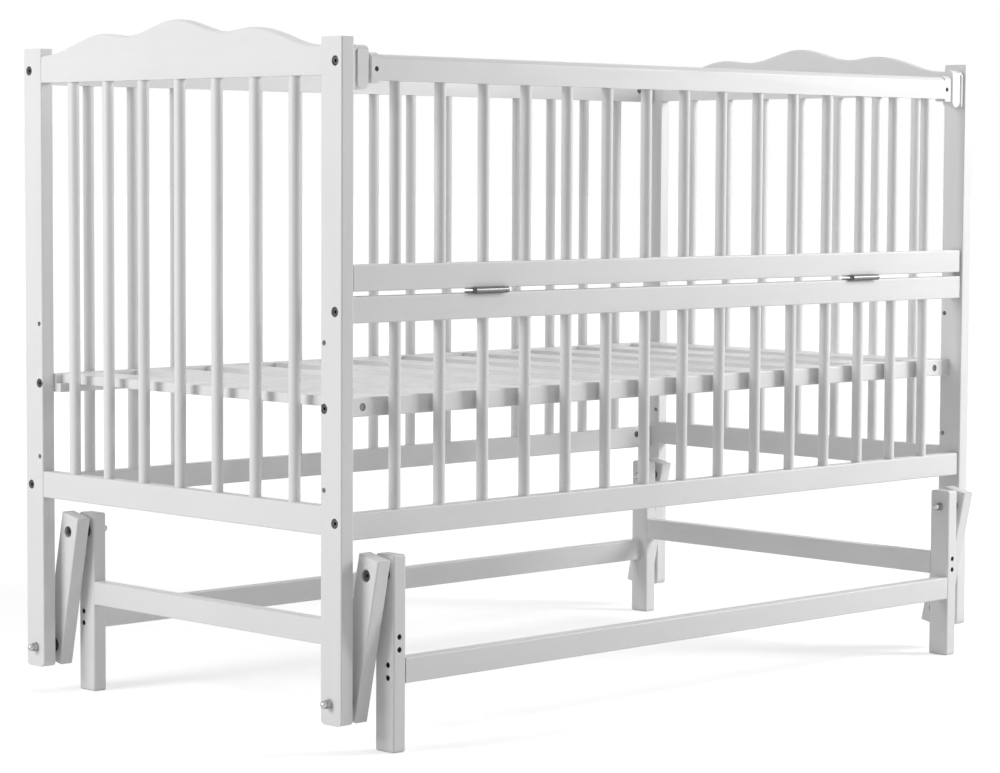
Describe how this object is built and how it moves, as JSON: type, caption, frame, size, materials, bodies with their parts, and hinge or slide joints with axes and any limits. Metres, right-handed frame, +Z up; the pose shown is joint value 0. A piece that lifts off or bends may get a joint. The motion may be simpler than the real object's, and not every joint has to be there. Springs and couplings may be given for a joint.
{
  "type": "crib",
  "caption": "White slatted wooden crib that swings on a low stand by tilting links, with a fold-down front side, sprung catches and a slatted mattress base.",
  "frame": {"origin": "centre of the bounding box's bottom face, on the floor under the part at rest", "axes": "+X along the crib from the left end to the right end, -Y out of the side that folds down, +Z up"},
  "size_m": [1.2664, 0.677, 0.8955],
  "materials": {
    "white_painted_wood": "satin white paint",
    "bare_beech": "bare",
    "white_plastic": "moulded, satin",
    "black_plastic": "moulded, satin",
    "black_steel": "black oxide",
    "nickel_steel": "polished",
    "zinc_steel": "zinc plated"
  },
  "bodies": {
    "swing_stand": {"stand_leg_front_left": "white_painted_wood", "stand_leg_front_right": "white_painted_wood", "stand_leg_rear_left": "white_painted_wood", "stand_leg_rear_right": "white_painted_wood", "stand_rail_front": "white_painted_wood", "stand_rail_left": "white_painted_wood", "stand_rail_rear": "white_painted_wood", "stand_rail_right": "white_painted_wood", "stand_screws": "black_steel", "upper_cap_nuts": "nickel_steel", "upper_pivot_bolts": "zinc_steel", "upper_pivot_washers": "nickel_steel"},
    "link_front_left": {"link_bushes_front_left": "black_plastic", "link_front_left": "white_painted_wood"},
    "link_front_right": {"link_bushes_front_right": "black_plastic", "link_front_right": "white_painted_wood"},
    "link_rear_left": {"link_bushes_rear_left": "black_plastic", "link_rear_left": "white_painted_wood"},
    "link_rear_right": {"link_bushes_rear_right": "black_plastic", "link_rear_right": "white_painted_wood"},
    "crib_body": {"cross_nuts": "zinc_steel", "end_board_left": "white_painted_wood", "end_board_right": "white_painted_wood", "end_bottom_rail_left": "white_painted_wood", "end_bottom_rail_right": "white_painted_wood", "end_slats_left": "white_painted_wood", "end_slats_right": "white_painted_wood", "frame_bolts": "black_steel", "front_bottom_rail": "white_painted_wood", "front_lower_slats": "white_painted_wood", "front_middle_rail": "white_painted_wood", "hinge_lower_leaves": "zinc_steel", "hinge_lower_screws": "zinc_steel", "hinge_pins": "zinc_steel", "latch_bracket_left": "white_plastic", "latch_bracket_right": "white_plastic", "lower_cap_nuts": "nickel_steel", "lower_pivot_bolts": "zinc_steel", "lower_pivot_washers": "nickel_steel", "mattress_base_rail_front": "white_painted_wood", "mattress_base_rail_rear": "white_painted_wood", "mattress_base_slats": "white_painted_wood", "post_front_left": "white_painted_wood", "post_front_right": "white_painted_wood", "post_rear_left": "white_painted_wood", "post_rear_right": "white_painted_wood", "rear_bottom_rail": "white_painted_wood", "rear_slats": "white_painted_wood", "rear_top_rail": "white_painted_wood", "wood_dowels": "bare_beech"},
    "drop_side": {"drop_side_bottom_rail": "white_painted_wood", "drop_side_end_cap_left": "white_plastic", "drop_side_end_cap_right": "white_plastic", "drop_side_slats": "white_painted_wood", "drop_side_top_rail": "white_painted_wood", "end_cap_screws": "black_steel", "hinge_upper_leaves": "zinc_steel", "hinge_upper_screws": "zinc_steel"},
    "latch_lever_left": {"latch_lever_left": "white_plastic"},
    "latch_lever_right": {"latch_lever_right": "white_plastic"}
  },
  "joints": [
    {"name": "swing_front_left", "type": "hinge", "parent": "swing_stand", "child": "link_front_left", "pos_m": [-0.58, -0.31622, 0.219], "axis": [1, 0, 0], "range_deg": [-26.7, 3.3]},
    {"name": "crib_level", "type": "hinge", "parent": "link_front_left", "child": "crib_body", "pos_m": [-0.58, -0.28378, 0.06232], "axis": [1, 0, 0], "range_deg": [-3.3, 26.7]},
    {"name": "swing_front_right", "type": "hinge", "parent": "swing_stand", "child": "link_front_right", "pos_m": [0.58, -0.31622, 0.219], "axis": [1, 0, 0], "range_deg": [-26.7, 3.3]},
    {"name": "swing_rear_left", "type": "hinge", "parent": "swing_stand", "child": "link_rear_left", "pos_m": [-0.58, 0.28378, 0.219], "axis": [1, 0, 0], "range_deg": [-26.7, 3.3]},
    {"name": "swing_rear_right", "type": "hinge", "parent": "swing_stand", "child": "link_rear_right", "pos_m": [0.58, 0.28378, 0.219], "axis": [1, 0, 0], "range_deg": [-26.7, 3.3]},
    {"name": "drop_side_fold", "type": "hinge", "parent": "crib_body", "child": "drop_side", "pos_m": [0, -0.30598, 0.55822], "axis": [1, 0, 0], "range_deg": [0, 180]},
    {"name": "latch_left", "type": "hinge", "parent": "crib_body", "child": "latch_lever_left", "pos_m": [-0.5935, -0.29278, 0.85262], "axis": [0, 1, 0], "range_deg": [0, 4], "stiffness_Nm_per_rad": 1.5},
    {"name": "latch_right", "type": "hinge", "parent": "crib_body", "child": "latch_lever_right", "pos_m": [0.5935, -0.29278, 0.85262], "axis": [0, -1, 0], "range_deg": [0, 4], "stiffness_Nm_per_rad": 1.5}
  ],
  "couplings": [
    {"joint": "crib_level", "follows": "swing_front_left", "ratio": -1},
    {"joint": "swing_front_right", "follows": "swing_front_left", "ratio": 1},
    {"joint": "swing_rear_left", "follows": "swing_front_left", "ratio": 1},
    {"joint": "swing_rear_right", "follows": "swing_front_left", "ratio": 1}
  ]
}
